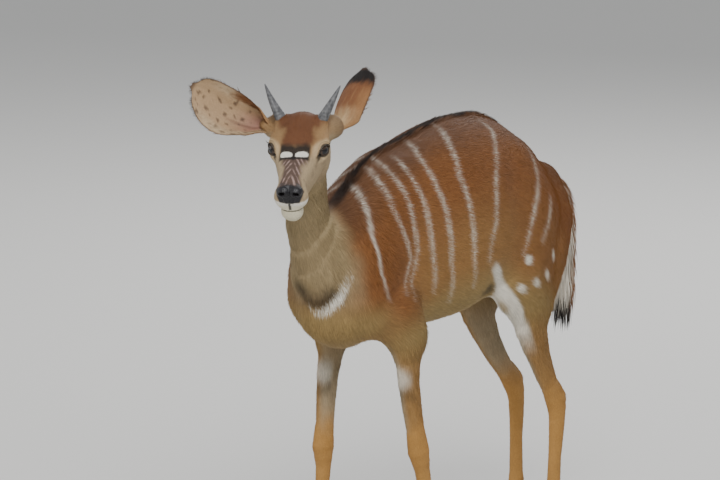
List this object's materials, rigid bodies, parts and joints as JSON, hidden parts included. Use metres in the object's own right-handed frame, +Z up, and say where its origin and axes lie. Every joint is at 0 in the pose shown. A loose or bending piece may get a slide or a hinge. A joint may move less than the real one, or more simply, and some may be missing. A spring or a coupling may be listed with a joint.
{
  "type": "nyala model",
  "caption": "Life-size still model of a young male nyala, standing with its head turned to its left, with short spike horns, broad ears, a low back crest and a hanging tail.",
  "frame": {"origin": "on the floor under the middle of the model's bounding box", "axes": "+Z up, -Y the way the body faces, +X the animal's left side"},
  "size_m": [0.3042, 1.1122, 1.0393],
  "materials": {
    "foreleg_lower_right": "short tawny coat",
    "foreleg_upper_right": "short tawny coat",
    "torso_shoulders": "short rufous-brown coat with thin pale stripes",
    "torso_barrel": "short rufous-brown coat with thin pale stripes",
    "neck": "short grey-brown coat",
    "head": "short rufous coat, darker on the bridge of the nose, with white chin and nose dashes",
    "hindleg_lower_right": "short tawny coat",
    "hindleg_upper_right": "short tawny coat",
    "torso_haunches": "short rufous-brown coat with thin pale stripes",
    "foreleg_upper_left": "short tawny coat",
    "foreleg_lower_left": "short tawny coat",
    "hindleg_upper_left": "short tawny coat",
    "hindleg_lower_left": "short tawny coat",
    "ear_left": "thin short coat, bare buff skin inside",
    "ear_right": "thin short coat, bare buff skin inside",
    "horn_left": "grey keratin",
    "eye_left": "dark wet eye",
    "horn_right": "grey keratin",
    "eye_right": "dark wet eye",
    "hoof_front_left_inner": "black keratin",
    "dewclaw_front_left_inner": "black keratin",
    "hoof_front_left_outer": "black keratin",
    "dewclaw_front_left_outer": "black keratin",
    "hoof_front_right_inner": "black keratin",
    "dewclaw_front_right_inner": "black keratin",
    "hoof_front_right_outer": "black keratin",
    "dewclaw_front_right_outer": "black keratin",
    "hoof_hind_left_inner": "black keratin",
    "dewclaw_hind_left_inner": "black keratin",
    "hoof_hind_left_outer": "black keratin",
    "dewclaw_hind_left_outer": "black keratin",
    "hoof_hind_right_inner": "black keratin",
    "dewclaw_hind_right_inner": "black keratin",
    "hoof_hind_right_outer": "black keratin",
    "dewclaw_hind_right_outer": "black keratin",
    "tail": "long brown brush, pale beneath"
  },
  "bodies": {
    "root": {"foreleg_lower_right": "foreleg_lower_right", "foreleg_upper_right": "foreleg_upper_right", "torso_shoulders": "torso_shoulders", "torso_barrel": "torso_barrel", "neck": "neck", "head": "head", "hindleg_lower_right": "hindleg_lower_right", "hindleg_upper_right": "hindleg_upper_right", "torso_haunches": "torso_haunches", "foreleg_upper_left": "foreleg_upper_left", "foreleg_lower_left": "foreleg_lower_left", "hindleg_upper_left": "hindleg_upper_left", "hindleg_lower_left": "hindleg_lower_left", "ear_left": "ear_left", "ear_right": "ear_right", "horn_left": "horn_left", "eye_left": "eye_left", "horn_right": "horn_right", "eye_right": "eye_right", "hoof_front_left_inner": "hoof_front_left_inner", "dewclaw_front_left_inner": "dewclaw_front_left_inner", "hoof_front_left_outer": "hoof_front_left_outer", "dewclaw_front_left_outer": "dewclaw_front_left_outer", "hoof_front_right_inner": "hoof_front_right_inner", "dewclaw_front_right_inner": "dewclaw_front_right_inner", "hoof_front_right_outer": "hoof_front_right_outer", "dewclaw_front_right_outer": "dewclaw_front_right_outer", "hoof_hind_left_inner": "hoof_hind_left_inner", "dewclaw_hind_left_inner": "dewclaw_hind_left_inner", "hoof_hind_left_outer": "hoof_hind_left_outer", "dewclaw_hind_left_outer": "dewclaw_hind_left_outer", "hoof_hind_right_inner": "hoof_hind_right_inner", "dewclaw_hind_right_inner": "dewclaw_hind_right_inner", "hoof_hind_right_outer": "hoof_hind_right_outer", "dewclaw_hind_right_outer": "dewclaw_hind_right_outer", "tail": "tail"}
  },
  "joints": []
}
